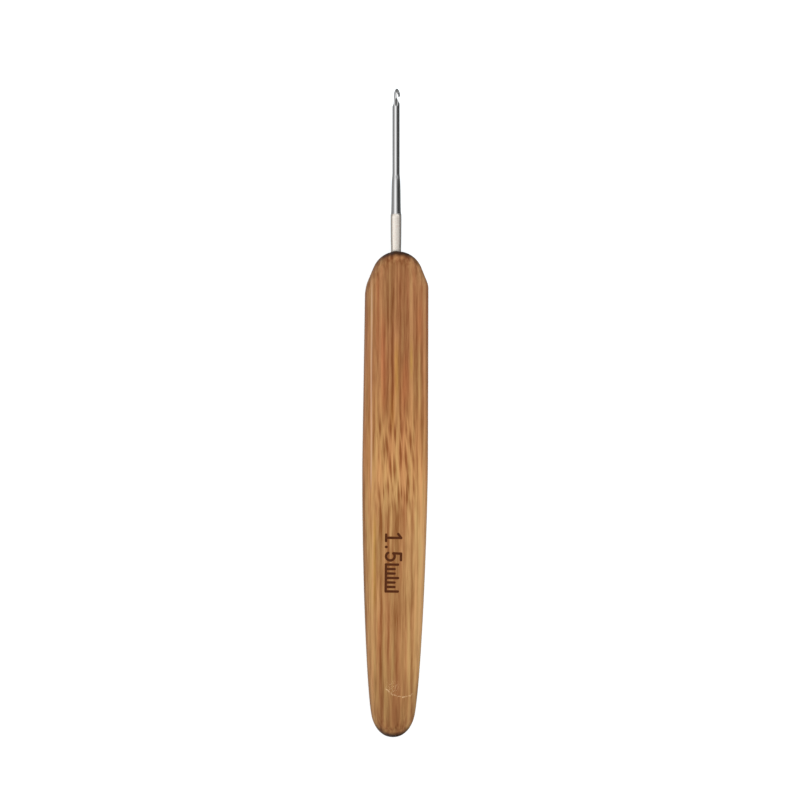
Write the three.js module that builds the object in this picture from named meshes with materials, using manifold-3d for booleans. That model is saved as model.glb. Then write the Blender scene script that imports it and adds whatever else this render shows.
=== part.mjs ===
// A steel crochet hook of the 1.5 mm size, bonded into a flat bamboo handle.
//
// Millimetres. The hook lies on its back: +Y runs along it to the hook's tip, +X is the side that the
// lip opens to, and +Z is up. The origin is below the middle of the overall length, on the flat back
// of the handle.

import * as THREE from 'three';
import { mergeVertices } from 'three/addons/utils/BufferGeometryUtils.js';
import Module from 'manifold-3d';

const wasm = await Module();
wasm.setup();
const { Manifold, Mesh } = wasm;

// ---- Driving dimensions ----

const overallLength = 135;
const handleLength = 101.1;
const handleWidth = 13.66;       // at its widest, past the middle of the handle
const handleThickness = 8;
const edgeRound = 3.4;           // round-over along every edge of the handle
const shaftDiameter = 1.5;       // the hook size
const shankDiameter = 2.05;      // the wire as drawn, left full where it enters the handle
const boreDiameter = 2.5;
const boreDepth = 30;
const tangDepth = 28;
const boreOffset = 0.1;          // of the bore's axis from the handle's centreline, at the origin
const boreLean = THREE.MathUtils.degToRad(0.484);  // of the bore's axis to the left, going forwards
const fitGap = 0.05;             // between the adhesive and the surfaces that it bonds
const markDepth = 0.15;          // the burnt-in size mark

// ---- Places along the object ----

const tipY = overallLength / 2;
const buttY = -overallLength / 2;
const handleFrontY = buttY + handleLength;
const tangEndY = handleFrontY - tangDepth;
const boreEndY = handleFrontY - boreDepth;
const wireZ = handleThickness / 2;

// ---- Fineness of the facets ----

const outlineSegments = 12;
const roundSegments = 6;
const wireSides = 36;
const boreSides = 36;

// ---- Materials ----

function polishedSteel() {
  return new THREE.MeshStandardMaterial({ color: 0xbfc0c2, roughness: 0.22, metalness: 1 });
}

function lacqueredBamboo() {
  return new THREE.MeshStandardMaterial({ color: 0xb07c50, roughness: 0.42, metalness: 0 });
}

function curedAdhesive() {
  return new THREE.MeshStandardMaterial({ color: 0xd8c690, roughness: 0.35, metalness: 0 });
}

// ---- From geometry to solid and back ----

function toSolid(geometry) {
  geometry.deleteAttribute('normal');
  geometry.deleteAttribute('uv');
  const merged = mergeVertices(geometry);
  return new Manifold(new Mesh({
    numProp: 3,
    vertProperties: new Float32Array(merged.attributes.position.array),
    triVerts: new Uint32Array(merged.index.array),
  }));
}

function toGeometry(solid) {
  const mesh = solid.getMesh();
  const geometry = new THREE.BufferGeometry();
  geometry.setAttribute('position', new THREE.BufferAttribute(mesh.vertProperties, 3));
  geometry.setIndex(new THREE.BufferAttribute(mesh.triVerts, 1));
  geometry.computeVertexNormals();
  return geometry;
}

// A straight-sided block: the shape's outline carried from one height to another.
function prism(shape, lowZ, highZ, curveSegments) {
  const options = { depth: highZ - lowZ, bevelEnabled: false, curveSegments };
  const geometry = new THREE.ExtrudeGeometry(shape, options);
  geometry.translate(0, 0, lowZ);
  return toSolid(geometry);
}

function pointAt(x, y) {
  return new THREE.Vector2(x, y);
}

// ---- Handle ----

// The outline runs from the butt up the right side, over the dome and down the left side.
// The dome stands a little to the right, and the right shoulder turns more sharply than the left.
function handleOutline() {
  const half = handleWidth / 2;
  const widestY = buttY + 57.7;

  const buttHalf = 4.47;         // half-width where the butt's round ends
  const buttRoundY = buttY + 4.48;
  const buttBulge = pointAt(2.8, 0);
  const buttTurn = pointAt(4.11, 2.68);
  const flareLow = pointAt(5.7, 10.5);
  const flareHigh = pointAt(half, 40);
  const turnY = buttY + buttTurn.y;
  const lowY = buttY + flareLow.y;
  const highY = buttY + flareHigh.y;

  const domeRadius = 5.35;
  const domeX = 0.15;
  const domeY = handleFrontY - domeRadius;
  const flankAngle = THREE.MathUtils.degToRad(22.5);
  const flankX = domeRadius * Math.cos(flankAngle);
  const flankY = domeY + domeRadius * Math.sin(flankAngle);
  const flankSlope = Math.tan(flankAngle);

  const right = shoulder(domeX + flankX, 6.63, 0.75);
  const left = shoulder(-domeX + flankX, 6.58, 1.8);

  // A shoulder is the corner where the dome's straight flank would meet the side, and the round's
  // two ends at the same reach on either side of that corner.
  function shoulder(flankEnd, side, reach) {
    const cornerY = flankY - (side - flankEnd) / flankSlope;
    return {
      side,
      cornerY,
      lowY: cornerY - reach,
      highX: side - reach * Math.sin(flankAngle),
      highY: cornerY + reach * Math.cos(flankAngle),
    };
  }

  const shape = new THREE.Shape();
  shape.moveTo(0, buttY);
  shape.bezierCurveTo(buttBulge.x, buttY, buttTurn.x, turnY, buttHalf, buttRoundY);
  shape.bezierCurveTo(flareLow.x, lowY, flareHigh.x, highY, half, widestY);
  shape.lineTo(right.side, right.lowY);
  shape.quadraticCurveTo(right.side, right.cornerY, right.highX, right.highY);
  shape.absarc(domeX, domeY, domeRadius, flankAngle, Math.PI - flankAngle, false);
  shape.lineTo(-left.highX, left.highY);
  shape.quadraticCurveTo(-left.side, left.cornerY, -left.side, left.lowY);
  shape.lineTo(-half, widestY);
  shape.bezierCurveTo(-flareHigh.x, highY, -flareLow.x, lowY, -buttHalf, buttRoundY);
  shape.bezierCurveTo(-buttTurn.x, turnY, -buttBulge.x, buttY, 0, buttY);
  return shape;
}

// The flat board with its edges rounded over on both faces.
function handleBoard() {
  const geometry = new THREE.ExtrudeGeometry(handleOutline(), {
    depth: handleThickness - 2 * edgeRound,
    curveSegments: outlineSegments,
    bevelEnabled: true,
    bevelThickness: edgeRound,
    bevelSize: edgeRound,
    bevelOffset: -edgeRound,
    bevelSegments: roundSegments,
  });
  geometry.translate(0, 0, edgeRound);
  return toSolid(geometry);
}

// The drilled hole for the tang, with the cone that the drill's point leaves.
function boreCut() {
  const radius = boreDiameter / 2;
  const drillPointHalfAngle = THREE.MathUtils.degToRad(59);
  const coneLength = radius / Math.tan(drillPointHalfAngle);
  const profile = [
    pointAt(0, boreEndY - coneLength),
    pointAt(radius, boreEndY),
    pointAt(radius, handleFrontY + 1),
    pointAt(0, handleFrontY + 1),
  ];
  const geometry = new THREE.LatheGeometry(profile, boreSides);
  geometry.rotateZ(boreLean);
  geometry.translate(boreOffset, 0, wireZ);
  return toSolid(geometry);
}

// ---- The size mark on the handle's face ----

// The mark reads from the hook towards the butt. Its strokes are drawn in reading order: along is
// the distance in the reading direction, and up is the height of a figure above the base line.
const markStartY = buttY + 42.6;
const markBaseX = -1.72;
const strokeWidth = 0.42;
const figureHeight = 3.1;
const figureWidth = 1.7;

function figureOne(start) {
  const stem = start + 0.62 * figureWidth;
  const footReach = 0.65;
  return [
    [pointAt(start + 0.25, 0.8 * figureHeight), pointAt(stem, figureHeight)],
    [pointAt(stem, figureHeight), pointAt(stem, 0)],
    [pointAt(stem - footReach, 0), pointAt(stem + footReach, 0)],
  ];
}

function figurePoint(start) {
  return [[pointAt(start, 0), pointAt(start, 0.1)]];
}

function figureFive(start) {
  const radius = 0.29 * figureHeight;
  const middle = start + 0.5 * figureWidth;
  const bowl = new THREE.EllipseCurve(middle, radius, 0.5 * figureWidth, radius, 2.4, -2.6, true);
  const bend = bowl.getPoints(10);
  const topLeft = pointAt(start + 0.16 * figureWidth, figureHeight);
  const topRight = pointAt(start + 0.95 * figureWidth, figureHeight);
  const strokes = [[topRight, topLeft], [topLeft, bend[0]]];
  for (let i = 1; i < bend.length; i += 1) {
    strokes.push([bend[i - 1], bend[i]]);
  }
  return strokes;
}

// A short comb of graduations, like the edge of a rule.
function graduations(start) {
  const count = 7;
  const spacing = 0.93;
  const strokes = [[pointAt(start, 0), pointAt(start + (count - 1) * spacing, 0)]];
  for (let i = 0; i < count; i += 1) {
    const along = start + i * spacing;
    const height = i % 3 === 0 ? 2.3 : 1.5;
    strokes.push([pointAt(along, 0), pointAt(along, height)]);
  }
  return strokes;
}

// One round-ended stroke as a block that cuts into the handle's face.
function strokeCut([from, to]) {
  const radius = strokeWidth / 2;
  const start = pointAt(markBaseX + from.y, markStartY - from.x);
  const end = pointAt(markBaseX + to.y, markStartY - to.x);
  const heading = Math.atan2(end.y - start.y, end.x - start.x);
  const shape = new THREE.Shape();
  shape.absarc(end.x, end.y, radius, heading - Math.PI / 2, heading + Math.PI / 2, false);
  shape.absarc(start.x, start.y, radius, heading + Math.PI / 2, heading + 1.5 * Math.PI, false);
  return prism(shape, handleThickness - markDepth, handleThickness + 1, 3);
}

function sizeMarkCut() {
  const strokes = [
    ...figureOne(0),
    ...figurePoint(2.95),
    ...figureFive(4.05),
    ...graduations(6.6),
  ];
  return Manifold.union(strokes.map(strokeCut));
}

function bambooHandle() {
  const solid = handleBoard().subtract(boreCut()).subtract(sizeMarkCut());
  const mesh = new THREE.Mesh(toGeometry(solid), lacqueredBamboo());
  mesh.name = 'bamboo_handle';
  return mesh;
}

// ---- Steel hook ----

// A section of the wire. Where flat is less than the half-depth, the section is cut off at that
// height above and below, as a pressed wire is.
function section(y, halfWidth, halfDepth = halfWidth, flat = halfDepth, x = 0) {
  return { y, halfWidth, halfDepth, flat, x };
}

// A closed skin through the sections, drawn to a point on the axis at both ends.
function loft(sections) {
  const first = sections[0];
  const last = sections[sections.length - 1];
  const positions = [first.x, first.y, 0];
  for (const part of sections) {
    for (let i = 0; i < wireSides; i += 1) {
      const angle = (2 * Math.PI * i) / wireSides;
      const depth = part.halfDepth * Math.sin(angle);
      const height = THREE.MathUtils.clamp(depth, -part.flat, part.flat);
      positions.push(part.x + part.halfWidth * Math.cos(angle), part.y, height);
    }
  }
  positions.push(last.x, last.y, 0);

  const start = 0;
  const end = 1 + sections.length * wireSides;
  const ring = (row, i) => 1 + row * wireSides + (i % wireSides);
  const index = [];
  for (let i = 0; i < wireSides; i += 1) {
    index.push(start, ring(0, i), ring(0, i + 1));
    for (let row = 1; row < sections.length; row += 1) {
      index.push(ring(row - 1, i), ring(row, i), ring(row, i + 1));
      index.push(ring(row - 1, i), ring(row, i + 1), ring(row - 1, i + 1));
    }
    index.push(end, ring(sections.length - 1, i + 1), ring(sections.length - 1, i));
  }

  const geometry = new THREE.BufferGeometry();
  geometry.setAttribute('position', new THREE.Float32BufferAttribute(positions, 3));
  geometry.setIndex(index);
  return geometry;
}

// The whole wire before the throat is ground: bevelled tang, pressed thumb flat, the taper down to
// the hook size, and the head leaning towards the lip's side as it rounds to the tip.
function wireBlank() {
  const shank = shankDiameter / 2;
  const shaft = shaftDiameter / 2;
  const pressStart = handleFrontY - 0.35;
  const pressEnd = handleFrontY + 7.9;
  const pressedHalf = 1.1;
  const pressedFlat = 0.78;
  const taperEnd = handleFrontY + 16.3;
  return loft([
    section(tangEndY, 0.5 * shank),
    section(tangEndY + 0.6, shank),
    section(pressStart, shank),
    section(pressStart + 0.4, 1.03, shank, pressedFlat),
    section(pressStart + 2.8, pressedHalf, shank, pressedFlat),
    section(pressEnd - 0.7, pressedHalf + 0.03, shank, pressedFlat),
    section(pressEnd - 0.2, pressedHalf, shank, 0.9),
    section(pressEnd, shank),
    section(taperEnd - 6, 0.965),
    section(taperEnd - 3, 0.925),
    section(taperEnd - 1.4, 0.85),
    section(taperEnd, shaft),
    section(tipY - 3.8, shaft),
    section(tipY - 3.1, 0.745, 0.66, 0.66, 0.02),
    section(tipY - 2.6, 0.73, 0.58, 0.58, 0.04),
    section(tipY - 1.9, 0.68, 0.53, 0.53, 0.16),
    section(tipY - 1.3, 0.63, 0.56, 0.56, 0.2),
    section(tipY - 0.9, 0.57, 0.55, 0.55, 0.2),
    section(tipY - 0.55, 0.46, 0.44, 0.44, 0.19),
    section(tipY - 0.25, 0.31, 0.3, 0.3, 0.18),
    section(tipY - 0.07, 0.15, 0.15, 0.15, 0.17),
    section(tipY, 0.01, 0.01, 0.01, 0.17),
  ]);
}

const neckFront = 0.2;           // bottom of the throat
const clearOfWire = 1.5;         // a reach to one side that is past any section of the wire

// The throat: a sloping ramp up from the shaft, the neck's front, and the hollow behind the lip.
function throatCut() {
  const shape = new THREE.Shape();
  shape.moveTo(clearOfWire, tipY - 4.1);
  shape.lineTo(0.76, tipY - 3.2);
  shape.lineTo(0.36, tipY - 2.4);
  shape.quadraticCurveTo(neckFront, tipY - 2.1, neckFront, tipY - 1.85);
  shape.lineTo(neckFront, tipY - 1.4);
  shape.bezierCurveTo(neckFront, tipY - 1.02, 0.36, tipY - 1, 0.41, tipY - 1.25);
  shape.lineTo(0.49, tipY - 1.78);
  shape.lineTo(0.58, tipY - 1.8);
  shape.lineTo(clearOfWire, tipY - 1.05);
  return prism(shape, -clearOfWire, clearOfWire, 8);
}

// The relief ground off the back of the neck, which leaves the head narrow.
function neckReliefCut() {
  const shape = new THREE.Shape();
  shape.moveTo(-clearOfWire, tipY - 4.1);
  shape.lineTo(-0.77, tipY - 3.8);
  shape.bezierCurveTo(-0.66, tipY - 3.5, -0.5, tipY - 3.4, -0.48, tipY - 3.05);
  shape.lineTo(-0.36, tipY - 0.8);
  shape.lineTo(-0.36, tipY);
  shape.lineTo(-clearOfWire, tipY);
  return prism(shape, -clearOfWire, clearOfWire, 8);
}

function steelHook() {
  const solid = toSolid(wireBlank()).subtract(throatCut()).subtract(neckReliefCut());
  const mesh = new THREE.Mesh(toGeometry(solid), polishedSteel());
  mesh.name = 'steel_hook';
  return mesh;
}

// ---- Adhesive ----

// The set adhesive is a cup: a sleeve in the gap between the tang and the bore, closed below the tang.
function tangAdhesive() {
  const inner = shankDiameter / 2 + fitGap;
  const outer = boreDiameter / 2 - fitGap;
  const bottomY = boreEndY + fitGap;
  const floorY = tangEndY - fitGap;
  const topY = handleFrontY - 0.4;
  const profile = [
    pointAt(0, bottomY),
    pointAt(outer, bottomY),
    pointAt(outer, topY),
    pointAt(inner, topY),
    pointAt(inner, floorY),
    pointAt(0, floorY),
  ];
  const mesh = new THREE.Mesh(new THREE.LatheGeometry(profile, boreSides), curedAdhesive());
  mesh.name = 'tang_adhesive';
  return mesh;
}

// ---- Assembly ----

// The hook and its adhesive share the bore's axis.
function onBoreAxis(...meshes) {
  const group = new THREE.Group();
  group.position.set(boreOffset, 0, wireZ);
  group.rotation.z = boreLean;
  group.add(...meshes);
  return group;
}

const crochetHook = new THREE.Group();
crochetHook.add(bambooHandle(), onBoreAxis(steelHook(), tangAdhesive()));

export default crochetHook;
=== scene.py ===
"""A slim steel crochet hook in a flat bamboo handle, on a pale floor, seen from straight above."""

import math

import bpy
from mathutils import Matrix, Vector


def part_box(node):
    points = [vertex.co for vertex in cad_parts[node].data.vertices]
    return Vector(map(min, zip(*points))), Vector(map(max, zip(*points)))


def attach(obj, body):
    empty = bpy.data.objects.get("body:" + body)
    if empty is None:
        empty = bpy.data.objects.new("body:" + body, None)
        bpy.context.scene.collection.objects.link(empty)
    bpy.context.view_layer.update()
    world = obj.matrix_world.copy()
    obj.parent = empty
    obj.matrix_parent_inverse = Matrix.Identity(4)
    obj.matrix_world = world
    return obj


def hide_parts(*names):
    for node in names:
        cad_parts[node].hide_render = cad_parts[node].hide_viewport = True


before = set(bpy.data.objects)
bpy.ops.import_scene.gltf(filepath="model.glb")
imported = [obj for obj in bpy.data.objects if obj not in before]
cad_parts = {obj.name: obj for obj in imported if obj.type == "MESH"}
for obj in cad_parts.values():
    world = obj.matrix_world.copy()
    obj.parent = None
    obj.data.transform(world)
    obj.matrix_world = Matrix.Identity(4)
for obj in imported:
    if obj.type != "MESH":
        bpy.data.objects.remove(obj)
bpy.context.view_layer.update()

# ---- Sizes and places, in millimetres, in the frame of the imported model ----
# +Y runs along the object to the hook's tip, +X is the side that the lip opens to, +Z is up.

MM = 0.001
PER_MM = 1 / MM


def box_in_mm(node):
    low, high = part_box(node)
    return low * PER_MM, high * PER_MM


handle_low, handle_high = box_in_mm("bamboo_handle")
hook_low, hook_high = box_in_mm("steel_hook")
glue_low, glue_high = box_in_mm("tang_adhesive")

HANDLE_LENGTH = 101.1
THICKNESS = handle_high.z
HALF_WIDTH = handle_high.x
BUTT_Y = handle_low.y
FRONT_Y = BUTT_Y + HANDLE_LENGTH
TIP_Y = hook_high.y
TANG_END_Y = hook_low.y

EDGE_ROUND = 3.4
SHANK_RADIUS = 1.025
SHAFT_RADIUS = 0.75
BORE_RADIUS = 1.25
BORE_DEPTH = 30
MARK_DEPTH = 0.15
AXIS_HOLE = 0.02                 # radius at which a turned profile stops short of its axis

# The bamboo's fibres run a little askew of the handle's axis, and the bore runs with them.
GRAIN_ANGLE = math.radians(0.484)
glue_middle = (glue_low + glue_high) / 2
BORE_OFFSET = Vector((glue_middle.x + glue_middle.y * math.tan(GRAIN_ANGLE), 0, THICKNESS / 2))
BORE_AXIS = Matrix.Translation(BORE_OFFSET) @ Matrix.Rotation(GRAIN_ANGLE, 4, "Z")


# ---- Making meshes ----


def new_object(name, vertices, faces):
    mesh = bpy.data.meshes.new(name)
    mesh.from_pydata(vertices, [], faces)
    mesh.validate()
    made = bpy.data.objects.new(name, mesh)
    bpy.context.scene.collection.objects.link(made)
    return made


def bake_modifiers(made):
    """Replaces the object's mesh by what its modifiers make of it."""
    evaluated = made.evaluated_get(bpy.context.evaluated_depsgraph_get())
    mesh = bpy.data.meshes.new_from_object(evaluated)
    made.modifiers.clear()
    made.data = mesh


def combine(made, other, operation):
    boolean = made.modifiers.new("combine", "BOOLEAN")
    boolean.operation = operation
    boolean.solver = "EXACT"
    boolean.material_mode = "TRANSFER"
    boolean.use_self = operation == "DIFFERENCE"
    boolean.object = other
    bake_modifiers(made)
    bpy.data.objects.remove(other)


def cut(made, cutter):
    """Takes the cutter's volume out of the object. The cut faces get the cutter's material."""
    combine(made, cutter, "DIFFERENCE")


def join(made, other):
    """Makes one body of two overlapping ones."""
    combine(made, other, "UNION")


def finish_mesh(made, sharp_angle):
    """Shades the mesh smoothly up to its sharp edges, and takes it from millimetres to metres."""
    made.data.transform(Matrix.Scale(MM, 4))
    made.data.shade_smooth()
    made.data.set_sharp_from_angle(angle=sharp_angle)
    weighted = made.modifiers.new("normals", "WEIGHTED_NORMAL")
    weighted.keep_sharp = True


def skin(rings):
    """Vertices and faces of a tube through rings of equal length, with a face across each end."""
    count = len(rings[0])
    vertices = [point for ring in rings for point in ring]
    faces = []
    for row in range(len(rings) - 1):
        low, high = row * count, (row + 1) * count
        for i in range(count):
            after = (i + 1) % count
            faces.append((low + i, low + after, high + after, high + i))
    faces.append(tuple(reversed(range(count))))
    faces.append(tuple(range(len(vertices) - count, len(vertices))))
    return vertices, faces


def lathe(name, profile, sides):
    """A turned piece about the Y axis. The profile's points are (radius, y)."""
    rings = []
    for radius, y in profile:
        ring = []
        for i in range(sides):
            angle = -2 * math.pi * i / sides
            ring.append((radius * math.cos(angle), y, radius * math.sin(angle)))
        rings.append(ring)
    return new_object(name, *skin(rings))


def prism(name, outline, low_z, high_z):
    """A block with straight sides up from an anticlockwise outline."""
    rings = [[(x, y, z) for x, y in outline] for z in (low_z, high_z)]
    return new_object(name, *skin(rings))


# ---- Plane curves ----


def curve(controls, steps):
    """Points of the Bezier curve with these controls, up to but not including its end."""
    points = []
    for step in range(steps):
        t = step / steps
        level = [Vector(control) for control in controls]
        while len(level) > 1:
            level = [a.lerp(b, t) for a, b in zip(level, level[1:])]
        points.append(tuple(level[0]))
    return points


def arc(centre, radius, start, end, steps):
    """Points of a circular arc, up to but not including its end."""
    points = []
    for step in range(steps):
        angle = start + (end - start) * step / steps
        points.append((centre[0] + radius * math.cos(angle), centre[1] + radius * math.sin(angle)))
    return points


def inset(outline, distance):
    """The anticlockwise outline moved inwards along its normals."""
    moved = []
    for i, (x, y) in enumerate(outline):
        before = Vector(outline[i - 1])
        after = Vector(outline[(i + 1) % len(outline)])
        along = (after - before).normalized()
        moved.append((x - along.y * distance, y + along.x * distance))
    return moved


# ---- Handle ----


def shoulder(flank, side, reach, angle):
    """The corner where the dome's straight flank meets a side, as the control points of its round."""
    corner = Vector((side, flank.y - (side - flank.x) / math.tan(angle)))
    low = Vector((side, corner.y - reach))
    high = corner + reach * Vector((-math.sin(angle), math.cos(angle)))
    return [low, corner, high]


def handle_outline():
    """The handle seen from above, anticlockwise from the middle of the butt."""
    widest = Vector((HALF_WIDTH, BUTT_Y + 57.7))
    butt_round = [
        Vector((0, BUTT_Y)),
        Vector((2.8, BUTT_Y)),
        Vector((4.11, BUTT_Y + 2.68)),
        Vector((4.47, BUTT_Y + 4.48)),
    ]
    flare = [butt_round[-1], Vector((5.7, BUTT_Y + 10.5)), Vector((HALF_WIDTH, BUTT_Y + 40)), widest]

    dome_radius = 5.35
    dome = Vector((0.15, FRONT_Y - dome_radius))
    flank_angle = math.radians(22.5)
    flank_height = dome.y + dome_radius * math.sin(flank_angle)
    flank_reach = dome_radius * math.cos(flank_angle)
    right_flank = Vector((flank_reach + dome.x, flank_height))
    left_flank = Vector((flank_reach - dome.x, flank_height))
    right = shoulder(right_flank, 6.63, 0.75, flank_angle)
    left = shoulder(left_flank, 6.58, 1.8, flank_angle)

    def mirrored(points):
        return [Vector((-point.x, point.y)) for point in reversed(points)]

    return [
        *curve(butt_round, 26),
        *curve(flare, 50),
        *curve([widest, right[0]], 30),
        *curve(right, 12),
        *curve([right[2], right_flank], 6),
        *arc(dome, dome_radius, flank_angle, math.pi - flank_angle, 48),
        *curve(mirrored([left[2], left_flank]), 6),
        *curve(mirrored(left), 14),
        *curve(mirrored([widest, left[0]]), 30),
        *curve(mirrored(flare), 50),
        *curve(mirrored(butt_round), 26),
    ]


def handle_board():
    """The flat board with a quarter-round along every edge of both faces."""
    outline = handle_outline()
    steps = 16
    rounds = []
    for step in range(steps + 1):
        angle = 0.5 * math.pi * step / steps
        rounds.append((EDGE_ROUND * (1 - math.sin(angle)), EDGE_ROUND * (1 - math.cos(angle))))
    rings = [[(x, y, height) for x, y in inset(outline, depth)] for depth, height in rounds]
    for depth, height in reversed(rounds):
        rings.append([(x, y, THICKNESS - height) for x, y in inset(outline, depth)])
    return new_object("handle", *skin(rings))


def bore_cutter():
    """The drilled hole, with its drill point and a slightly broken edge at the mouth."""
    mouth_y = FRONT_Y - 0.05
    broken_edge = 0.12
    drill_point = 0.75
    past_mouth = 0.5
    profile = [
        (AXIS_HOLE, FRONT_Y - BORE_DEPTH - drill_point),
        (BORE_RADIUS, FRONT_Y - BORE_DEPTH),
        (BORE_RADIUS, mouth_y - broken_edge),
        (BORE_RADIUS + broken_edge + past_mouth, mouth_y + past_mouth),
    ]
    cutter = lathe("bore_cutter", profile, 64)
    cutter.data.transform(BORE_AXIS)
    return cutter


# The size mark reads from the hook towards the butt. Its strokes are drawn in reading order: along
# is the distance in the reading direction, and up is the height of a figure above its base line.
MARK_START_Y = BUTT_Y + 42.6
MARK_BASE_X = -1.72
STROKE_WIDTH = 0.42
FIGURE_HEIGHT = 3.1
FIGURE_WIDTH = 1.7


def figure_one(start):
    stem = start + 0.62 * FIGURE_WIDTH
    foot_reach = 0.65
    return [
        ((start + 0.25, 0.8 * FIGURE_HEIGHT), (stem, FIGURE_HEIGHT)),
        ((stem, FIGURE_HEIGHT), (stem, 0)),
        ((stem - foot_reach, 0), (stem + foot_reach, 0)),
    ]


def figure_point(start):
    return [((start, 0), (start, 0.1))]


def figure_five(start):
    middle = start + 0.5 * FIGURE_WIDTH
    radius = 0.29 * FIGURE_HEIGHT
    steps = 14
    bowl = []
    for step in range(steps + 1):
        angle = 2.4 + (-2.6 - 2.4) * step / steps
        bowl.append((middle + 0.5 * FIGURE_WIDTH * math.cos(angle), radius * (1 + math.sin(angle))))
    top_left = (start + 0.16 * FIGURE_WIDTH, FIGURE_HEIGHT)
    top_right = (start + 0.95 * FIGURE_WIDTH, FIGURE_HEIGHT)
    return [(top_right, top_left), (top_left, bowl[0]), *zip(bowl, bowl[1:])]


def graduations(start):
    """A short comb of graduations, like the edge of a rule."""
    count = 7
    spacing = 0.93
    strokes = [((start, 0), (start + (count - 1) * spacing, 0))]
    for i in range(count):
        along = start + i * spacing
        height = 2.5 if i % 3 == 0 else 1.8
        strokes.append(((along, 0), (along, height)))
    return strokes


def stroke_block(start, end):
    """One round-ended stroke as a block that widens towards the face, as a burnt groove does."""
    first = Vector((MARK_BASE_X + start[1], MARK_START_Y - start[0]))
    last = Vector((MARK_BASE_X + end[1], MARK_START_Y - end[0]))
    heading = math.atan2(last.y - first.y, last.x - first.x)
    rings = []
    for height, flare in ((-MARK_DEPTH, -0.04), (-0.04, 0.0), (0.0, 0.1), (0.04, 0.2)):
        radius = STROKE_WIDTH / 2 + flare
        ends = [
            *arc(last, radius, heading - math.pi / 2, heading + math.pi / 2, 8),
            *arc(first, radius, heading + math.pi / 2, heading + 1.5 * math.pi, 8),
        ]
        rings.append([(x, y, THICKNESS + height) for x, y in ends])
    return skin(rings)


def mark_cutter():
    strokes = [*figure_one(0), *figure_point(2.95), *figure_five(4.05), *graduations(6.6)]
    vertices = []
    faces = []
    for start, end in strokes:
        block_vertices, block_faces = stroke_block(start, end)
        first = len(vertices)
        vertices += block_vertices
        faces += [tuple(first + i for i in face) for face in block_faces]
    return new_object("mark_cutter", vertices, faces)


def make_handle():
    handle = handle_board()
    handle.data.materials.append(bamboo_material())
    bore = bore_cutter()
    bore.data.materials.append(handle.data.materials[0])
    cut(handle, bore)
    mark = mark_cutter()
    mark.data.materials.append(burnt_material())
    cut(handle, mark)
    finish_mesh(handle, math.radians(35))
    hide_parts("bamboo_handle")
    return handle


# ---- Steel hook ----

# The hook is made about the Y axis and then set on the bore's axis. Its sections, from the tang to
# the tip, are (y, half-width, half-depth, flat, x). The flat is the height above and below the axis
# at which a pressed section is cut off, and x leans the section to the lip's side.
PRESS_START_Y = FRONT_Y - 0.35
PRESS_END_Y = FRONT_Y + 7.9
TAPER_END_Y = FRONT_Y + 16.3
PRESSED_HALF = 1.1
PRESSED_FLAT = 0.78
PRESSED_CROWN = 0.1
HEAD_START_Y = TIP_Y - 5.6


def round_section(y, radius):
    return (y, radius, radius, radius, 0.0)


SHAFT_SECTIONS = [
    round_section(TANG_END_Y, 0.5 * SHANK_RADIUS),
    round_section(TANG_END_Y + 0.6, SHANK_RADIUS),
    round_section(PRESS_START_Y, SHANK_RADIUS),
    (PRESS_START_Y + 0.4, 1.03, SHANK_RADIUS, PRESSED_FLAT, 0.0),
    (PRESS_START_Y + 2.8, PRESSED_HALF, SHANK_RADIUS, PRESSED_FLAT, 0.0),
    (PRESS_END_Y - 0.7, PRESSED_HALF + 0.03, SHANK_RADIUS, PRESSED_FLAT, 0.0),
    (PRESS_END_Y - 0.2, PRESSED_HALF, SHANK_RADIUS, 0.9, 0.0),
    round_section(PRESS_END_Y, SHANK_RADIUS),
    round_section(TAPER_END_Y - 6, 0.965),
    round_section(TAPER_END_Y - 3, 0.925),
    round_section(TAPER_END_Y - 1.4, 0.85),
    round_section(TAPER_END_Y, SHAFT_RADIUS),
    round_section(HEAD_START_Y + 0.4, SHAFT_RADIUS),
]
HEAD_SECTIONS = [
    round_section(HEAD_START_Y, SHAFT_RADIUS - 0.01),
    round_section(HEAD_START_Y + 0.4, SHAFT_RADIUS),
    round_section(TIP_Y - 3.8, SHAFT_RADIUS),
    (TIP_Y - 3.3, 0.745, 0.7, 0.7, 0.01),
    (TIP_Y - 2.6, 0.73, 0.6, 0.6, 0.04),
    (TIP_Y - 1.9, 0.68, 0.51, 0.51, 0.16),
    (TIP_Y - 1.4, 0.64, 0.5, 0.5, 0.19),
    (TIP_Y - 0.9, 0.57, 0.5, 0.5, 0.2),
    (TIP_Y - 0.55, 0.46, 0.41, 0.41, 0.19),
    (TIP_Y - 0.25, 0.31, 0.28, 0.28, 0.18),
    (TIP_Y - 0.07, 0.15, 0.14, 0.14, 0.17),
    (TIP_Y, 0.01, 0.01, 0.01, 0.17),
]


def tangent(sections, i, k):
    """The slope of value k at section i, flat at a turning point so that the curve never overshoots."""
    if i == 0 or i == len(sections) - 1:
        return 0.0
    before, here, after = sections[i - 1], sections[i], sections[i + 1]
    slope_in = (here[k] - before[k]) / (here[0] - before[0])
    slope_out = (after[k] - here[k]) / (after[0] - here[0])
    if slope_in * slope_out <= 0:
        return 0.0
    return 2 * slope_in * slope_out / (slope_in + slope_out)


def between(sections, i, t, k):
    """Value k a fraction t of the way from section i to the next, on a smooth curve."""
    start, end = sections[i], sections[i + 1]
    span = end[0] - start[0]
    slope_start = tangent(sections, i, k) * span
    slope_end = tangent(sections, i + 1, k) * span
    rise = t * t * (3 - 2 * t)
    return (
        start[k] * (1 - rise)
        + end[k] * rise
        + slope_start * t * (1 - t) ** 2
        - slope_end * t * t * (1 - t)
    )


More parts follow.
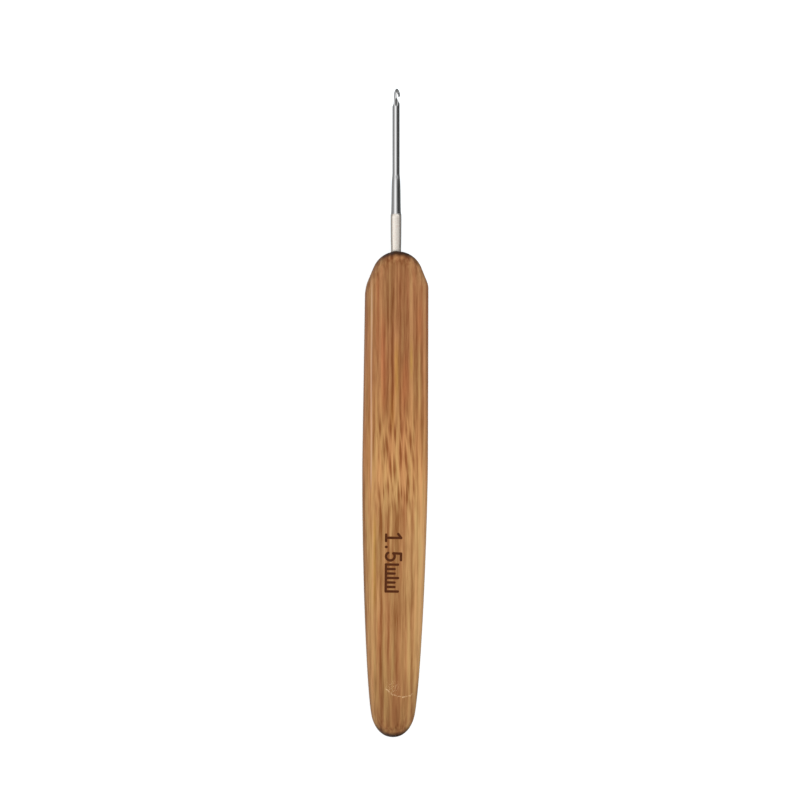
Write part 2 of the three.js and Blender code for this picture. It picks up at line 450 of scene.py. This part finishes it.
def wire_ring(y, half_width, half_depth, flat, lean, sides):
    """One section of the wire. Where it is pressed, the flats are a little crowned."""
    ring = []
    for i in range(sides):
        angle = -2 * math.pi * i / sides
        limit = flat + PRESSED_CROWN * (0.5 - 1.5 * math.cos(angle) ** 2)
        height = max(-limit, min(limit, half_depth * math.sin(angle)))
        ring.append((lean + half_width * math.cos(angle), y, height))
    return ring


def wire(name, sections):
    sides = 96
    longest_step = 0.5
    rings = []
    for i in range(len(sections) - 1):
        start_y, end_y = sections[i][0], sections[i + 1][0]
        steps = max(5, round((end_y - start_y) / longest_step))
        for step in range(steps):
            t = step / steps
            values = [between(sections, i, t, k) for k in range(1, 5)]
            rings.append(wire_ring(start_y + t * (end_y - start_y), *values, sides))
    rings.append(wire_ring(*sections[-1], sides))
    return new_object(name, *skin(rings))


NECK_FRONT = 0.2
CLEAR_OF_WIRE = 1.5


def below_tip(points):
    """Points given from the wire's axis and down from the tip, as places along the wire."""
    return [Vector((x, TIP_Y - drop)) for x, drop in points]


def throat_cutter():
    """The sloping throat, the front of the neck and the hollow behind the lip."""
    ramp = below_tip([(CLEAR_OF_WIRE, 4.1), (0.76, 3.2), (0.36, 2.4)])
    blend = below_tip([(0.36, 2.4), (NECK_FRONT, 2.1), (NECK_FRONT, 1.85)])
    hollow = below_tip([(NECK_FRONT, 1.4), (NECK_FRONT, 1.02), (0.36, 1.0), (0.41, 1.25)])
    lip = below_tip([(0.41, 1.25), (0.49, 1.78), (0.58, 1.8), (CLEAR_OF_WIRE, 1.05)])
    outline = [*ramp[:2], *curve(blend, 10), blend[-1], *curve(hollow, 16), *lip]
    outline = [tuple(point) for point in reversed(outline)]
    return prism("throat_cutter", outline, -CLEAR_OF_WIRE, CLEAR_OF_WIRE)


def neck_relief_cutter():
    """The relief ground off the back of the neck, which leaves the head narrow."""
    run_out = below_tip([(-0.77, 3.8), (-0.66, 3.5), (-0.5, 3.4), (-0.48, 3.05)])
    outline = [
        *below_tip([(-CLEAR_OF_WIRE, 4.1)]),
        *curve(run_out, 12),
        *below_tip([(-0.48, 3.05), (-0.36, 0.8), (-0.36, 0), (-CLEAR_OF_WIRE, 0)]),
    ]
    outline = [tuple(point) for point in outline]
    return prism("relief_cutter", outline, -CLEAR_OF_WIRE, CLEAR_OF_WIRE)


def hook_head():
    """The wire's end with its throat and neck ground in, and every ground edge polished round."""
    head = wire("hook_head", HEAD_SECTIONS)
    cut(head, throat_cutter())
    cut(head, neck_relief_cutter())
    remesh = head.modifiers.new("even_mesh", "REMESH")
    remesh.mode = "VOXEL"
    remesh.voxel_size = 0.026
    polish = head.modifiers.new("polish", "SMOOTH")
    polish.factor = 0.5
    polish.iterations = 30
    bake_modifiers(head)
    return head


def make_hook():
    hook = wire("hook_wire", SHAFT_SECTIONS)
    join(hook, hook_head())
    hook.data.materials.clear()
    hook.data.materials.append(steel_material())
    hook.data.transform(BORE_AXIS)
    finish_mesh(hook, math.radians(45))
    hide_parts("steel_hook")
    return hook


# ---- Adhesive ----


def make_adhesive():
    """The set adhesive: a cup round the tang, drawn up the shank in a small hollow fillet."""
    gap = 0.02
    inner = SHANK_RADIUS + gap
    outer = BORE_RADIUS - gap
    floor_y = TANG_END_Y - gap
    top_y = FRONT_Y - 0.35
    climb = 0.3
    fillet = curve([(outer, top_y), (inner + 0.05, top_y), (inner, top_y + climb)], 8)
    profile = [
        (AXIS_HOLE, FRONT_Y - BORE_DEPTH),
        (outer, FRONT_Y - BORE_DEPTH + gap),
        *fillet,
        (inner, top_y + climb),
        (inner, floor_y),
        (AXIS_HOLE, floor_y),
    ]
    glue = lathe("adhesive", profile, 64)
    glue.data.transform(BORE_AXIS)
    glue.data.materials.append(adhesive_material())
    finish_mesh(glue, math.radians(35))
    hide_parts("tang_adhesive")
    return glue


# ---- Node trees ----


class Graph:
    """Builds a node tree from short calls. A value is a number, a colour, a vector or a socket."""

    def __init__(self, tree):
        self.tree = tree
        tree.nodes.clear()

    def node(self, kind, **settings):
        made = self.tree.nodes.new(kind)
        for name, value in settings.items():
            setattr(made, name, value)
        return made

    def feed(self, socket, value):
        if isinstance(value, bpy.types.NodeSocket):
            self.tree.links.new(value, socket)
        else:
            socket.default_value = value

    def math(self, operation, *values, clamp=False):
        made = self.node("ShaderNodeMath", operation=operation, use_clamp=clamp)
        for socket, value in zip(made.inputs, values):
            self.feed(socket, value)
        return made.outputs[0]

    def add(self, a, b):
        return self.math("ADD", a, b)

    def subtract(self, a, b):
        return self.math("SUBTRACT", a, b)

    def multiply(self, a, b):
        return self.math("MULTIPLY", a, b)

    def size(self, a):
        return self.math("ABSOLUTE", a)

    def smooth(self, value, low, high):
        """0 at low, 1 at high, with a smooth rise between. High may be the smaller of the two."""
        made = self.node("ShaderNodeMapRange", interpolation_type="SMOOTHSTEP")
        flipped = low > high
        self.feed(made.inputs["Value"], value)
        made.inputs["From Min"].default_value = high if flipped else low
        made.inputs["From Max"].default_value = low if flipped else high
        made.inputs["To Min"].default_value = 1.0 if flipped else 0.0
        made.inputs["To Max"].default_value = 0.0 if flipped else 1.0
        return made.outputs[0]

    def vector(self, x, y, z):
        made = self.node("ShaderNodeCombineXYZ")
        for socket, value in zip(made.inputs, (x, y, z)):
            self.feed(socket, value)
        return made.outputs[0]

    def parts(self, vector):
        made = self.node("ShaderNodeSeparateXYZ")
        self.feed(made.inputs[0], vector)
        return made.outputs

    def noise(self, vector, detail):
        """Soft noise from 0 to 1, with features about as large as the vector's unit."""
        made = self.node("ShaderNodeTexNoise", noise_dimensions="3D")
        self.feed(made.inputs["Vector"], vector)
        made.inputs["Scale"].default_value = 1.0
        made.inputs["Detail"].default_value = detail
        made.inputs["Roughness"].default_value = 0.5
        return made.outputs[0]

    def grain(self, place, scales, detail):
        """Noise at a place, with the place's x, y and z each multiplied by its own scale."""
        scaled = [self.multiply(part, scale) for part, scale in zip(place, scales)]
        return self.noise(self.vector(*scaled), detail)

    def tint(self, colour, factors):
        """The colour with its red, green and blue multiplied by the factors."""
        return self.mix(1.0, colour, (*factors, 1), "MULTIPLY")

    def mix(self, factor, a, b, blend="MIX"):
        made = self.node("ShaderNodeMix", data_type="RGBA", blend_type=blend)
        self.feed(made.inputs[0], factor)
        self.feed(made.inputs[6], a)
        self.feed(made.inputs[7], b)
        return made.outputs[2]

    def ramp(self, value, stops):
        """A colour along the value. Stops are (value, colour), and values outside them hold."""
        low, high = stops[0][0], stops[-1][0]
        made = self.node("ShaderNodeValToRGB")
        elements = made.color_ramp.elements
        while len(elements) < len(stops):
            elements.new(0.5)
        for element, (place, colour) in zip(elements, stops):
            element.position = (place - low) / (high - low)
            element.color = colour
        along = self.multiply(self.subtract(value, low), 1 / (high - low))
        self.feed(made.inputs[0], along)
        return made.outputs[0]

    def position(self):
        """The place on the surface in millimetres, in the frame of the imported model."""
        made = self.node("ShaderNodeTexCoord")
        scaled = self.node("ShaderNodeVectorMath", operation="SCALE")
        self.feed(scaled.inputs[0], made.outputs["Object"])
        scaled.inputs["Scale"].default_value = PER_MM
        return self.parts(scaled.outputs[0])

    def facing(self):
        """The parts of the surface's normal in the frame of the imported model."""
        made = self.node("ShaderNodeTexCoord")
        return self.parts(made.outputs["Normal"])

    def bump(self, height, strength, depth_mm):
        made = self.node("ShaderNodeBump")
        made.inputs["Strength"].default_value = strength
        made.inputs["Distance"].default_value = depth_mm * MM
        self.feed(made.inputs["Height"], height)
        return made.outputs[0]

    def surface(self, **sockets):
        """The shader and the output, with the named inputs of the shader fed."""
        shader = self.node("ShaderNodeBsdfPrincipled")
        output = self.node("ShaderNodeOutputMaterial")
        for name, value in sockets.items():
            self.feed(shader.inputs[name.replace("_", " ")], value)
        self.tree.links.new(shader.outputs[0], output.inputs[0])


def new_material(name):
    material = bpy.data.materials.new(name)
    material.use_nodes = True
    return material, Graph(material.node_tree)


def linear(red, green, blue, gain=1.0):
    """A colour given as 0 to 255 on a screen, as the light that it stands for."""

    def channel(value):
        value /= 255
        if value <= 0.04045:
            return gain * value / 12.92
        return gain * ((value + 0.055) / 1.055) ** 2.4

    return (channel(red), channel(green), channel(blue), 1.0)


# ---- Bamboo ----

# How much lighter a surface shows under the studio light than its own colour is.
LIGHT_GAIN = 0.86

# The tone along the handle, from the butt to the dome.
BAMBOO_TONES = [
    (-67.5, (150, 104, 58)),
    (-62.0, (158, 111, 64)),
    (-53.0, (174, 126, 75)),
    (-41.0, (178, 129, 78)),
    (-27.0, (182, 134, 82)),
    (-12.0, (185, 132, 78)),
    (-1.0, (176, 122, 71)),
    (12.0, (168, 115, 69)),
    (33.6, (165, 113, 69)),
]

# The middle of the culm's node, which crosses the handle.
NODE_Y = -10.3

# The fibre bundles across the front face, as (place across the grain, tone), above and below the
# node. A tone above 0 is paler than the strip around it, and one below 0 is darker.
GRAIN_ABOVE_NODE = [
    (-6.4, 0.2),
    (-5.5, -0.2),
    (-5.05, 0.9),
    (-4.55, -0.3),
    (-4.1, 0.4),
    (-3.65, -0.3),
    (-3.0, 0.9),
    (-2.35, -1.0),
    (-1.95, -0.5),
    (-1.6, -0.9),
    (-1.15, 0.6),
    (-0.65, -1.0),
    (-0.05, 0.8),
    (0.35, 0.2),
    (0.9, -0.6),
    (1.3, 0.0),
    (1.8, -0.4),
    (2.6, -0.6),
    (3.35, 1.0),
    (3.9, -0.4),
    (4.4, -0.3),
    (4.95, 0.9),
    (5.45, -0.5),
    (6.05, 0.8),
    (6.5, -0.4),
]
GRAIN_BELOW_NODE = [
    (-6.4, -0.4),
    (-5.6, 0.4),
    (-5.15, 0.0),
    (-4.8, 0.9),
    (-4.2, 0.1),
    (-3.6, 0.1),
    (-3.0, -0.9),
    (-2.3, 0.5),
    (-1.6, -0.6),
    (-0.95, 0.2),
    (0.3, -0.6),
    (1.2, 0.0),
    (2.0, -0.3),
    (2.8, 0.9),
    (3.4, -0.5),
    (4.1, 1.0),
    (4.6, 0.3),
    (5.3, 1.1),
    (5.9, 0.6),
    (6.5, 0.3),
]

# Bands of redder and of yellower bamboo: (place across the grain, half-width, front end, butt end).
RED_BANDS = [
    (-2.45, 0.55, 20, 1),
    (1.9, 0.8, 11, 2),
    (-3.7, 0.4, 28, 12),
    (4.9, 0.5, 22, 14),
    (-3.3, 0.5, -42, -50),
]
YELLOW_BANDS = [
    (0.2, 0.5, 14, 4),
    (-0.7, 0.4, 4, -3),
    (3.3, 0.3, 14, 8),
    (-4.3, 0.3, -22, -40),
]
# One bundle was left almost white, as far as the node.
WHITE_BUNDLE = (-5.02, 0.16, 26, -15)

# How much each layer of the fibres adds to the tone.
RIB_WEIGHT = 0.4
LAYER_WEIGHTS = {"bundles": 0.28, "fine": 0.5, "broad": 0.2, "hairs": 0.25}


def band_mask(graph, grain_x, y, band):
    """1 along a band, fading out over its edges and ends."""
    place, half_width, front, butt = band
    across = graph.size(graph.subtract(grain_x, place))
    inside = graph.smooth(across, half_width * 1.6, half_width * 0.3)
    end_fade = 3.0
    from_front = graph.smooth(y, front + end_fade, front - end_fade)
    from_butt = graph.smooth(y, butt - end_fade, butt + end_fade)
    return graph.multiply(inside, graph.multiply(from_front, from_butt))


def all_bands(graph, grain_x, y, bands):
    total = 0.0
    for band in bands:
        total = graph.math("MAXIMUM", total, band_mask(graph, grain_x, y, band))
    return total


def streaks(graph, place, width, length, shift=0.0, detail=1.0):
    """Noise drawn out along the grain, even about 0. Width and length are in millimetres."""
    across, along, depth = place
    vector = graph.vector(
        graph.multiply(across, 1 / width),
        graph.add(graph.multiply(along, 1 / length), shift),
        graph.multiply(depth, 1 / width),
    )
    return graph.multiply(graph.subtract(graph.noise(vector, detail), 0.5), 2.0)


def grain_profile(graph, grain_x, stops):
    """The tone of the fibre bundles across the face, from a list of places and tones."""
    strongest = 1.5
    greys = []
    for place, tone in stops:
        level = 0.5 + 0.5 * tone / strongest
        greys.append((place, (level, level, level, 1)))
    level = graph.ramp(grain_x, greys)
    return graph.multiply(graph.subtract(level, 0.5), 2 * strongest)


def weigh(graph, factor, a, b):
    """The number a where the factor is 0, b where it is 1."""
    blend = graph.node("ShaderNodeMix", data_type="FLOAT")
    graph.feed(blend.inputs[0], factor)
    graph.feed(blend.inputs[2], a)
    graph.feed(blend.inputs[3], b)
    return blend.outputs[0]


def node_darts(graph, grain_x, y, z):
    """Where the culm's node was, pale strands weave round staggered dark darts."""
    spacing_across, spacing_along = 0.62, 6.2
    slant = 0.05
    place = graph.vector(
        graph.multiply(graph.add(grain_x, graph.multiply(y, slant)), 1 / spacing_across),
        graph.multiply(y, 1 / spacing_along),
        graph.multiply(z, 0.2),
    )
    cells = graph.node("ShaderNodeTexVoronoi", distance="MINKOWSKI")
    graph.feed(cells.inputs["Vector"], place)
    cells.inputs["Scale"].default_value = 1.0
    cells.inputs["Exponent"].default_value = 1.3
    cells.inputs["Randomness"].default_value = 0.8
    from_dart = cells.outputs["Distance"]
    darkest, between_strands, palest = -1.2, -0.35, 0.7
    strands = weigh(graph, graph.smooth(from_dart, 0.4, 0.75), between_strands, palest)
    return weigh(graph, graph.smooth(from_dart, 0.56, 0.1), strands, darkest)


def bundle_ends(graph, x, z, normal_y):
    """The cut fibre bundles, as dark dots where a surface crosses the grain."""
    spacing = 0.62
    place = graph.vector(graph.multiply(x, 1 / spacing), graph.multiply(z, 1 / spacing), 0.0)
    cells = graph.node("ShaderNodeTexVoronoi", voronoi_dimensions="2D")
    graph.feed(cells.inputs["Vector"], place)
    cells.inputs["Scale"].default_value = 1.0
    cells.inputs["Randomness"].default_value = 0.8
    dots = graph.smooth(cells.outputs["Distance"], 0.34, 0.18)
    cut_across = graph.smooth(graph.size(normal_y), 0.72, 0.9)
    return graph.multiply(graph.multiply(dots, cut_across), 0.75)


def fibre_layers(graph, place):
    """Streaks along the grain, from the widest to the hair-fine ones."""
    return {
        "broad": streaks(graph, place, 2.6, 45.0, 9.0),
        "bundles": streaks(graph, place, 0.95, 30.0),
        "fine": streaks(graph, place, 0.42, 9.0, 5.0),
        "hairs": streaks(graph, place, 0.17, 3.0, 2.0),
    }


def fibre_ribs(graph, place, straight, bundles, on_front):
    """The broad fibre bundles: placed on the front face, free elsewhere, and woven at the node."""
    grain_x, y, z = place
    above = grain_profile(graph, grain_x, GRAIN_ABOVE_NODE)
    below = graph.multiply(grain_profile(graph, grain_x, GRAIN_BELOW_NODE), 1.2)
    profile = weigh(graph, graph.smooth(y, NODE_Y - 6, NODE_Y + 6), below, above)
    ribs = weigh(graph, on_front, graph.multiply(bundles, 1.6), profile)

    along = graph.smooth(graph.size(graph.subtract(y, NODE_Y)), 12.0, 6.5)
    across = graph.smooth(graph.size(graph.subtract(straight, 0.1)), 5.0, 3.4)
    return weigh(graph, graph.multiply(along, across), ribs, node_darts(graph, grain_x, y, z))


def bamboo_hues(graph, colour, place, straight, on_front):
    """Slow changes of hue along the strip, the coloured bands and the one nearly white bundle."""
    grain_x, y, z = place
    hue = streaks(graph, place, 1.1, 16.0, 13.0)
    hue = graph.math("ADD", graph.multiply(hue, 0.9), 0.5, clamp=True)
    reddish = graph.tint(colour, (1.05, 0.92, 0.9))
    golden = graph.tint(colour, (0.97, 1.05, 0.96))
    colour = graph.mix(hue, reddish, golden)
    redder = graph.tint(colour, (1.02, 0.88, 0.84))
    colour = graph.mix(all_bands(graph, straight, y, RED_BANDS), colour, redder)
    yellower = graph.tint(colour, (1.0, 1.02, 0.72))
    colour = graph.mix(all_bands(graph, straight, y, YELLOW_BANDS), colour, yellower)
    white = graph.multiply(band_mask(graph, grain_x, y, WHITE_BUNDLE), on_front)
    return graph.mix(graph.multiply(white, 0.5), colour, linear(226, 186, 156, gain=LIGHT_GAIN))


def shaded_edges_and_end_grain(graph, colour, x, z):
    """Painted shade where the round ends turn down from the light and along the upright sides. The cut
    fibre ends are really browner and take the darkest tone, with dark dots where the bundles are cut.
    """
    normal_x, normal_y, normal_z = graph.facing()
    # Painted shade: the upper round of the dome and of the butt darkens as it turns down away from the
    # light.
    round_dome = graph.smooth(normal_y, 0.2, 0.55)
    round_butt = graph.smooth(normal_y, -0.35, -0.6)
    turned_under = graph.smooth(normal_z, 0.78, 0.4)
    above_middle = graph.smooth(normal_z, -0.6, 0.0)
    painted_end_shade = graph.multiply(graph.math("MAXIMUM", round_dome, round_butt), turned_under)
    painted_end_shade = graph.multiply(painted_end_shade, above_middle)
    end_shade_tone = graph.tint(colour, (0.34, 0.33, 0.26))
    colour = graph.mix(graph.multiply(painted_end_shade, 0.75), colour, end_shade_tone)

    # One darker tone for both the really browner end grain and the painted shade along the upright
    # sides.
    end_grain_and_side_shade_tone = graph.tint(colour, (0.3, 0.24, 0.2))
    end_grain = graph.smooth(graph.size(normal_y), 0.6, 0.9)
    colour = graph.mix(end_grain, colour, end_grain_and_side_shade_tone)
    colour = graph.mix(bundle_ends(graph, x, z, normal_y), colour, linear(52, 30, 18))
    # Painted shade along the upright sides.
    side = graph.smooth(graph.size(normal_x), 0.8, 1.0)
    return graph.mix(graph.multiply(side, 0.3), colour, end_grain_and_side_shade_tone)


def bamboo_material():
    material, graph = new_material("lacquered_bamboo")
    x, y, z = graph.position()
    on_front = graph.smooth(z, 0.4 * THICKNESS, 0.75 * THICKNESS)

    # Along the fibres grain_x stays the same, apart from a slow wander.
    straight = graph.add(x, graph.multiply(y, math.tan(GRAIN_ANGLE)))
    wander = graph.subtract(graph.grain((x, y, z), (0.3, 0.035, 0.3), 1.0), 0.5)
    grain_x = graph.add(straight, graph.multiply(wander, 0.35))
    place = (grain_x, y, z)

    layers = fibre_layers(graph, place)
    ribs = fibre_ribs(graph, place, straight, layers["bundles"], on_front)
    tone = graph.multiply(ribs, RIB_WEIGHT)
    for name, weight in LAYER_WEIGHTS.items():
        tone = graph.add(tone, graph.multiply(layers[name], weight))
    lightness = graph.math("ADD", tone, 0.5, clamp=True)

    tones = [(along, linear(*colour, gain=LIGHT_GAIN)) for along, colour in BAMBOO_TONES]
    base = graph.ramp(y, tones)
    dark = graph.tint(base, (0.58, 0.38, 0.22))
    pale = graph.tint(base, (1.42, 1.62, 1.9))
    colour = graph.mix(lightness, dark, pale)
    colour = bamboo_hues(graph, colour, place, straight, on_front)
    colour = shaded_edges_and_end_grain(graph, colour, x, z)
    colour = graph.mix(scuff_mask(graph, straight, y, z), colour, linear(222, 184, 140))

    relief = graph.add(graph.multiply(tone, 0.6), graph.multiply(layers["hairs"], 0.4))
    graph.surface(
        Base_Color=colour,
        Roughness=graph.add(0.46, graph.multiply(layers["hairs"], 0.12)),
        Specular_IOR_Level=0.16,
        Coat_Weight=0.06,
        Coat_Roughness=0.25,
        Normal=graph.bump(relief, 0.3, 0.03),
    )
    return material


def distance_from(graph, across, y, centre_x, centre_y):
    from_x = graph.subtract(across, centre_x)
    from_y = graph.subtract(y, centre_y)
    squares = graph.add(graph.multiply(from_x, from_x), graph.multiply(from_y, from_y))
    return graph.math("SQRT", squares)


def scuff_mask(graph, across, y, z):
    """A thin dotted scuff in the lacquer of the front face, curved like the butt, with pale specks."""
    radius = 4.17
    half_width = 0.09
    jitter = graph.subtract(graph.grain((across, y, 0.0), (2.2, 2.2, 1), 2.0), 0.5)
    from_centre = distance_from(graph, across, y, 1.45, -54.8)
    off_line = graph.add(graph.subtract(from_centre, radius), graph.multiply(jitter, 0.8))
    line = graph.smooth(graph.size(off_line), half_width * 2, half_width * 0.4)
    towards_butt = graph.smooth(y, -56.9, -57.4)
    grit = graph.grain((across, y, 0.0), (4.5, 4.5, 1), 1.0)
    dotted = graph.multiply(graph.multiply(line, towards_butt), graph.smooth(grit, 0.4, 0.58))

    round_specks = graph.smooth(distance_from(graph, across, y, -0.6, -57.0), 2.0, 0.8)
    fine_grit = graph.grain((across, y, 3.0), (6.0, 6.0, 1), 0.0)
    specks = graph.multiply(round_specks, graph.smooth(fine_grit, 0.6, 0.75))
    scuffs = graph.math("MAXIMUM", graph.multiply(dotted, 0.8), graph.multiply(specks, 0.7))
    on_face = graph.smooth(z, THICKNESS - 1.2, THICKNESS - 0.6)
    return graph.multiply(scuffs, on_face)


def burnt_material():
    """The floor and walls of the burnt mark, darker with depth."""
    material, graph = new_material("burnt_bamboo")
    place = graph.position()
    depth = graph.smooth(place[2], THICKNESS, THICKNESS - 0.05)
    char_noise = graph.grain(place, (3, 1.4, 1), 3.0)
    scorched = graph.mix(char_noise, linear(70, 34, 14), linear(98, 52, 26))
    colour = graph.mix(depth, linear(140, 90, 52), scorched)
    graph.surface(
        Base_Color=colour,
        Roughness=graph.add(0.6, graph.multiply(char_noise, 0.3)),
        Specular_IOR_Level=0.08,
        Normal=graph.bump(char_noise, 0.5, 0.03),
    )
    return material


# ---- Steel and adhesive ----


def steel_material():
    """Polished drawn wire, satin where the thumb flat was pressed."""
    material, graph = new_material("polished_steel")
    place = graph.position()
    upright = graph.size(graph.facing()[2])
    drawn = graph.grain(place, (9, 0.35, 9), 3.0)
    mottle = graph.grain(place, (4, 2.2, 4), 3.0)

    along = graph.multiply(
        graph.smooth(place[1], PRESS_START_Y - 0.1, PRESS_START_Y + 0.6),
        graph.smooth(place[1], PRESS_END_Y + 0.1, PRESS_END_Y - 0.4),
    )
    pressed = graph.multiply(along, graph.smooth(upright, -0.2, 0.6))
    side = graph.smooth(upright, 0.9, 0.6)

    polished_tone = graph.mix(drawn, (0.52, 0.52, 0.525, 1), (0.66, 0.66, 0.66, 1))
    pressed_tone = graph.mix(mottle, (0.62, 0.58, 0.52, 1), (0.86, 0.81, 0.74, 1))
    flecks = graph.grain(place, (5.5, 4.5, 5.5), 0.0)
    flecks = graph.multiply(graph.smooth(flecks, 0.6, 0.72), 0.55)
    pressed_tone = graph.mix(flecks, pressed_tone, (0.66, 0.48, 0.4, 1))
    colour = graph.mix(pressed, polished_tone, pressed_tone)

    polished_rough = graph.add(0.08, graph.multiply(drawn, 0.1))
    pressed_rough = graph.add(graph.add(0.26, graph.multiply(mottle, 0.14)), graph.multiply(side, 0.25))
    relief = graph.add(graph.multiply(drawn, 0.25), graph.multiply(graph.multiply(mottle, pressed), 0.9))
    graph.surface(
        Base_Color=colour,
        Metallic=1.0,
        Roughness=weigh(graph, pressed, polished_rough, pressed_rough),
        Normal=graph.bump(relief, 0.25, 0.02),
    )
    return material


def adhesive_material():
    """Clouded amber adhesive."""
    material, graph = new_material("amber_adhesive")
    cloud = graph.grain(graph.position(), (2, 1.2, 2), 3.0)
    graph.surface(
        Base_Color=graph.mix(cloud, linear(96, 60, 30), linear(158, 112, 60)),
        Roughness=graph.add(0.2, graph.multiply(cloud, 0.2)),
        Normal=graph.bump(cloud, 0.2, 0.02),
    )
    return material


# ---- Studio ----

TENT_LIGHT = 0.92
REFLECTED_FLOOR_LEFT = 0.42
REFLECTED_FLOOR_RIGHT = 0.14
REFLECTED_FLOOR_AHEAD = 0.05
# The tent as reflections see it across the hook, from left to right: (direction's x, part of the
# peak). Towards the hook's ends it darkens downwards, and a dark card stands in front of the tip.
TENT_PEAK = 1.65
TENT_END_LOW = 0.4
TENT_END_HIGH = 1.15
FRONT_CARD = 0.12
REFLECTED_TENT = [
    (-1.0, 0.22),
    (-0.85, 0.3),
    (-0.7, 0.52),
    (-0.5, 0.82),
    (-0.25, 1.0),
    (0.0, 0.74),
    (0.2, 0.48),
    (0.4, 0.26),
    (0.6, 0.1),
    (0.8, 0.04),
    (1.0, 0.04),
]


def make_floor():
    """A pale table, lit from inside so that shadows stay faint, and grey in reflections."""
    half = 4.0
    corners = [(-half, -half, 0), (half, -half, 0), (half, half, 0), (-half, half, 0)]
    floor = new_object("floor", corners, [(0, 1, 2, 3)])
    material, graph = new_material("pale_floor")
    path = graph.node("ShaderNodeLightPath")
    table = graph.node("ShaderNodeBsdfDiffuse")
    table.inputs["Color"].default_value = (0.52, 0.57, 0.6, 1)
    glow = graph.node("ShaderNodeEmission")
    glow.inputs["Strength"].default_value = 0.64
    lit_table = graph.node("ShaderNodeAddShader")
    graph.feed(lit_table.inputs[0], table.outputs[0])
    graph.feed(lit_table.inputs[1], glow.outputs[0])
    place = graph.position()
    to_right = graph.smooth(place[0], -2.0, 2.0)
    ahead = graph.smooth(place[1], TIP_Y - 0.5, TIP_Y + 1.0)
    beside = weigh(graph, to_right, REFLECTED_FLOOR_LEFT, REFLECTED_FLOOR_RIGHT)
    reflected = graph.node("ShaderNodeEmission")
    graph.feed(reflected.inputs["Strength"], weigh(graph, ahead, beside, REFLECTED_FLOOR_AHEAD))
    shown = graph.node("ShaderNodeMixShader")
    graph.feed(shown.inputs[0], path.outputs["Is Glossy Ray"])
    graph.feed(shown.inputs[1], lit_table.outputs[0])
    graph.feed(shown.inputs[2], reflected.outputs[0])
    output = graph.node("ShaderNodeOutputMaterial")
    graph.feed(output.inputs[0], shown.outputs[0])
    floor.data.materials.append(material)


def make_light(name, direction, distance, width, height, watts):
    """A soft box that faces the object. Direction is from the object to the light."""
    data = bpy.data.lights.new(name, "AREA")
    data.shape = "RECTANGLE"
    data.size = width
    data.size_y = height
    data.energy = watts
    light = bpy.data.objects.new(name, data)
    towards = Vector(direction).normalized()
    light.location = towards * distance
    light.rotation_euler = towards.to_track_quat("Z", "Y").to_euler()
    light.visible_camera = False
    light.visible_glossy = False
    bpy.context.scene.collection.objects.link(light)


def make_world():
    """An even light tent, which is shaded as above where polished steel reflects it."""
    world = bpy.data.worlds.new("studio")
    world.use_nodes = True
    world.cycles.sampling_method = "NONE"
    bpy.context.scene.world = world
    graph = Graph(world.node_tree)
    direction = graph.node("ShaderNodeTexCoord").outputs["Generated"]
    x, y, z = graph.parts(direction)
    path = graph.node("ShaderNodeLightPath")
    greys = [(place, (level, level, level, 1)) for place, level in REFLECTED_TENT]
    across = graph.multiply(graph.ramp(x, greys), TENT_PEAK)
    card = graph.multiply(graph.smooth(y, 0.14, 0.3), graph.smooth(graph.size(x), 0.6, 0.4))
    end_wall = weigh(graph, graph.smooth(z, 0.0, 0.85), TENT_END_LOW, TENT_END_HIGH)
    ends = weigh(graph, card, end_wall, FRONT_CARD)
    reflected = weigh(graph, graph.smooth(graph.size(y), 0.14, 0.3), across, ends)
    strength = weigh(graph, path.outputs["Is Glossy Ray"], TENT_LIGHT, reflected)
    strength = weigh(graph, path.outputs["Is Camera Ray"], strength, 1.0)
    background = graph.node("ShaderNodeBackground")
    background.inputs["Color"].default_value = (1, 1, 1, 1)
    graph.feed(background.inputs["Strength"], strength)
    output = graph.node("ShaderNodeOutputWorld")
    graph.feed(output.inputs[0], background.outputs[0])


def make_camera():
    """A long lens straight above, turned a little so that the handle leans as it lies."""
    field_width = 166.56 * MM
    distance = 1.2
    aim = Vector((0.907, 2.663, THICKNESS / 2)) * MM
    data = bpy.data.cameras.new("camera")
    data.sensor_width = 36
    data.lens = data.sensor_width * distance / field_width
    data.clip_start = 0.01
    data.clip_end = 20
    camera = bpy.data.objects.new("camera", data)
    camera.location = aim + Vector((0, 0, distance))
    camera.rotation_euler = (0, 0, GRAIN_ANGLE)
    bpy.context.scene.collection.objects.link(camera)
    bpy.context.scene.camera = camera


make_camera()
make_floor()
make_world()
make_light("key_softbox", direction=(0.15, 0.2, 1), distance=1.7, width=1.6, height=2.0, watts=7)
bpy.context.scene.view_settings.view_transform = "Standard"

for piece in (make_handle(), make_hook(), make_adhesive()):
    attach(piece, "root")
